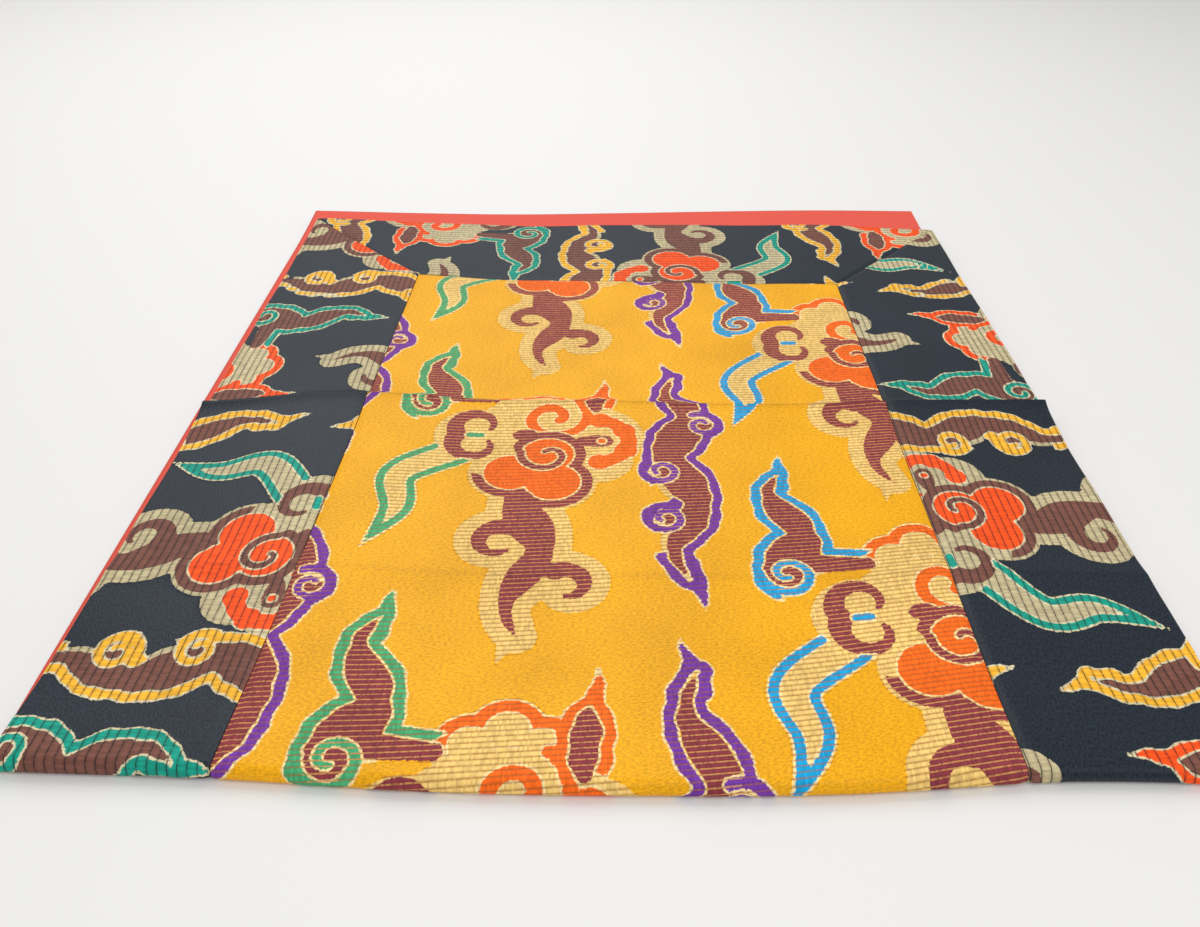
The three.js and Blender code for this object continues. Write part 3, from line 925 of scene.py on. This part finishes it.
panel_width = RIGHT_SEAM[0] - LEFT_SEAM[0]
share, v = np.meshgrid(stations(0, panel_width, UPPER_STEP) / panel_width, rows)
v = turned(v, between(*UPPER_SEAM, share), -PANEL_LOWER)
u = between(seam_across(LEFT_SEAM, v) + SEAM_GAP / 2, seam_across(RIGHT_SEAM, v) - SEAM_GAP / 2, share)
gathered = between(*TAKEN_UP, smooth(u, *TAKEN_UP_CHANGES))
drawn = figures(u - CLOUD_EYE[0], taken_up(v, gathered) - CLOUD_EYE[1], PANEL_DROP)
slant = between(*LINE_SLANT, smooth(v, *SLANT_CHANGES))
lines = v - slant * u + LINE_WANDER * np.sin(phase(u, v, PANEL_WANDER))
seams = dict.fromkeys(("left", "right", "first", "last"), "seam")
panel = cloth("panel", yellow_brocade, u, v, FACE_INNER, FACE_THICKNESS, seams, drawn, lines, u)
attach(panel, "root")
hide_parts("center_panel")

# %% [markdown]
# ## The black borders
# Four strips of black brocade frame the panel, with the tops of their figures towards it, and meet in
# mitres. They could be one sheet with a hole in it, but on the real cloth the figures turn with the strip at
# every corner. So each strip is a piece of its own, and its rows turn until the last one is the mitre.

# %% Figures of a strip
BORDER_SCALE = (0.955, 0.88)  # the strips' figures are a little smaller than the panel's
FIGURES_IN = -15  # a strip's base line, up from the cloud's eye
FIGURES_ON = 34  # and its start, along from the eye


def on_strip(along, inward):
    """Figures of a strip, from places along it and inwards from its base line, in millimetres."""
    x = along / BORDER_SCALE[0] + FIGURES_ON
    return figures(x, inward / BORDER_SCALE[1] + FIGURES_IN, BORDER_DROP)


print("repeat along a strip, mm:", REPEAT_ACROSS * BORDER_SCALE[0])

# %% Side borders
BORDER_STEP = 1.4
LEFT_FIGURES = (118, -161)  # where the figures of a side strip start along it, and its base line
RIGHT_FIGURES = (148, 157)
LEFT_TAKEN_UP = 6
LEFT_WANDER = 37
RIGHT_WANDER = 41


def side_border(side, seam, corner):
    """Places of a strip along one side: -1 left, 1 right. The corner is where its upper mitre starts."""
    rows = long_rows(PANEL_LOWER, PANEL_UPPER, LOWER_STEP, BORDER_STEP)
    width = HALF_WIDTH - abs(seam[0])
    share, row = np.meshgrid(stations(0, width, BORDER_STEP) / width, rows)
    outward = share if side > 0 else 1 - share
    inner_v = turned(row, corner, -PANEL_LOWER)
    outer_v = turned(row, UPPER_LENGTH, -LOWER_LENGTH)
    u = between(seam_across(seam, inner_v) + side * SEAM_GAP / 2, side * HALF_WIDTH, outward)
    return u, between(inner_v, outer_v, outward)


left_u, left_v = side_border(-1, LEFT_SEAM, UPPER_SEAM[0])
right_u, right_v = side_border(1, RIGHT_SEAM, UPPER_SEAM[1])
left_drawn = on_strip(LEFT_FIGURES[0] - taken_up(left_v, LEFT_TAKEN_UP), left_u - LEFT_FIGURES[1])
right_drawn = on_strip(right_v - RIGHT_FIGURES[0], RIGHT_FIGURES[1] - right_u)
left_lines = left_u + LINE_WANDER * np.sin(left_v / LEFT_WANDER)
right_lines = right_u + LINE_WANDER * np.sin(right_v / RIGHT_WANDER)
mitres = {"first": "seam", "last": "seam"}
left_border = cloth(
    "left_border", black_brocade, left_u, left_v, FACE_INNER, FACE_THICKNESS,
    {"left": "hem", "right": "seam"} | mitres, left_drawn, left_lines, left_v,
)
right_border = cloth(
    "right_border", black_brocade, right_u, right_v, FACE_INNER, FACE_THICKNESS,
    {"left": "seam", "right": "hem"} | mitres, right_drawn, right_lines, right_v,
)
SIDES = (
    # piece, solid that it stands for, width where it is widest (metres), area (square metres)
    (left_border, "border_left", 0.0895, 0.0748),
    (right_border, "border_right", 0.087, 0.0787),
)
for piece, node, width, area in SIDES:
    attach(piece, "root")
    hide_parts(node)

# %% End borders
def end_border(edge, left_corner, right_corner, step):
    """Places of a strip across one end. Corners are (u, v) where its seam on the panel starts and ends."""
    depth = abs(edge) - PANEL_UPPER if edge > 0 else abs(edge) - PANEL_LOWER
    share, outward = np.meshgrid(
        stations(0, CLOTH_WIDTH, step) / CLOTH_WIDTH, stations(0, depth, step) / depth
    )
    outward = outward if edge > 0 else outward[::-1]
    seam = between(left_corner[1], right_corner[1], share) + math.copysign(SEAM_GAP / 2, edge)
    left = between(left_corner[0], -HALF_WIDTH, outward) + SEAM_GAP / 2
    right = between(right_corner[0], HALF_WIDTH, outward) - SEAM_GAP / 2
    return between(left, right, share), between(seam, edge, outward)


ENDS = {
    # end: its free edge, where its seam on the panel starts and ends, step of its grid
    "upper": (UPPER_LENGTH, (LEFT_SEAM[1], UPPER_SEAM[0]), (RIGHT_SEAM[1], UPPER_SEAM[1]), BORDER_STEP),
    "lower": (-LOWER_LENGTH, (LEFT_SEAM[0], -PANEL_LOWER), (RIGHT_SEAM[0], -PANEL_LOWER), LOWER_STEP),
}
END_FIGURES_ACROSS = 41
END_FIGURES_IN = 10  # base line of the strip's figures, out from the panel's end
END_WANDER = 43
for end, (edge, left_corner, right_corner, step) in ENDS.items():
    u, v = end_border(edge, left_corner, right_corner, step)
    outwards = math.copysign(1, edge)
    panel_end = PANEL_UPPER if edge > 0 else PANEL_LOWER
    drawn = on_strip(outwards * (END_FIGURES_ACROSS - u), panel_end + END_FIGURES_IN - np.abs(v))
    mitred = {"left": "seam", "right": "seam"}
    free_end = {"last": "hem", "first": "seam"} if edge > 0 else {"first": "hem", "last": "seam"}
    piece = cloth(
        f"{end}_end_border", black_brocade, u, v, FACE_INNER, FACE_THICKNESS,
        mitred | free_end, drawn, v + LINE_WANDER * np.sin(u / END_WANDER), u,
    )
    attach(piece, "root")
    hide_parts(f"border_{end}_end")

# %% [markdown]
# ## The red lining
# A plain cotton weave backs the whole cloth. It shows as a line along the left edge, and as a strip at the
# far edge, where the lower half reaches out from under the upper one. It could be a red line painted on the
# edge, but from behind it is a sheet of its own. So it is made as the other pieces are, on a coarser grid.
# Plain-woven cotton gives the eye a dull, slightly mottled red, with no sheen.

# %% Lining material
SLUB = 0.8  # a thick place in the yarn, drawn coarser than real so that it shows
SLUB_HEIGHT = 0.1
SLUB_STRENGTH = 0.4
COTTON_REDS = ("d53f32", "ee634c")  # of the thin places and of the thick ones
COTTON_ROUGHNESS = 0.8
COTTON_IOR = 1.5
lining_cotton = bpy.data.materials.new("red cotton plain weave")
lining_cotton.use_nodes = True
tree = lining_cotton.node_tree
tree.nodes.clear()
along = add(tree, "ShaderNodeAttribute", {"attribute_name": "along_lines"}, {}, "Fac")
across = add(tree, "ShaderNodeAttribute", {"attribute_name": "across_lines"}, {}, "Fac")
weave = add(tree, "ShaderNodeCombineXYZ", {}, {"X": along, "Y": across})
fibre = add(tree, "ShaderNodeTexNoise", {}, {"Vector": weave, "Scale": 1 / SLUB, "Detail": 3.0})
reds = {"Factor": fibre, "A": linear(COTTON_REDS[0]), "B": linear(COTTON_REDS[1])}
red = add(tree, "ShaderNodeMix", {"data_type": "RGBA"}, reds)
relief = {"Strength": SLUB_STRENGTH, "Distance": SLUB_HEIGHT * MM, "Height": fibre}
bump = add(tree, "ShaderNodeBump", {}, relief)
surface = {"Base Color": red, "Roughness": COTTON_ROUGHNESS, "Normal": bump, "IOR": COTTON_IOR}
shader = add(tree, "ShaderNodeBsdfPrincipled", {}, surface)
add(tree, "ShaderNodeOutputMaterial", {}, {"Surface": shader})
print("lining nodes:", len(tree.nodes))

# %% Lining
LINING_STEP = 4
rows = long_rows(LOWER_LENGTH, UPPER_LENGTH, LINING_STEP, LINING_STEP)
u, v = np.meshgrid(stations(-HALF_WIDTH, HALF_WIDTH, LINING_STEP), rows)
lining = cloth("lining_sheet", lining_cotton, u, v, 0, LINING_THICKNESS, seams, {}, v, u)
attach(lining, "root")
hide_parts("lining")

# %% [markdown]
# ## Floor and light
# The cloth lies on a pale painted table top, which is matt with a slight sheen. One lamp would light it, but
# with a hard shadow and a bright spot on the satin. So there are two large soft panels: one high at the back
# gives the satin its sheen, and one in front opens the shadow under the fold.

# %% Floor
FLOOR_WIDTH = 8  # metres
PAINT_COLOUR = "e9e8e6"
PAINT_ROUGHNESS = 0.6
bpy.ops.mesh.primitive_plane_add(size=FLOOR_WIDTH)
floor = bpy.context.object
floor.name = "floor"
paint = bpy.data.materials.new("painted table top")
paint.use_nodes = True
surface = paint.node_tree.nodes["Principled BSDF"].inputs
surface["Base Color"].default_value = linear(PAINT_COLOUR)
surface["Roughness"].default_value = PAINT_ROUGHNESS
floor.data.materials.append(paint)
print("floor at", floor.location[:])

# %% Lights
ROOM_COLOUR = "ffffff"
ROOM_STRENGTH = 0.5
LIGHTS = {
    # name: (place in metres, width in metres, watts)
    "back_panel": ((-0.3, 0.9, 1.2), 1.2, 12),
    "front_panel": ((0.3, -0.9, 1.3), 1.2, 9.5),
}
for name, (at, width, watts) in LIGHTS.items():
    light = bpy.data.lights.new(name, "AREA")
    light.size = width
    light.energy = watts
    lamp = bpy.data.objects.new(name, light)
    lamp.location = at
    lamp.rotation_euler = (-Vector(at)).to_track_quat("-Z", "Y").to_euler()
    bpy.context.scene.collection.objects.link(lamp)

world = bpy.data.worlds.new("soft_room")
bpy.context.scene.world = world
world.use_nodes = True
room = world.node_tree.nodes["Background"].inputs
room["Color"].default_value = linear(ROOM_COLOUR)
room["Strength"].default_value = ROOM_STRENGTH
bpy.context.scene.view_settings.view_transform = "Standard"
print("lights:", list(LIGHTS))
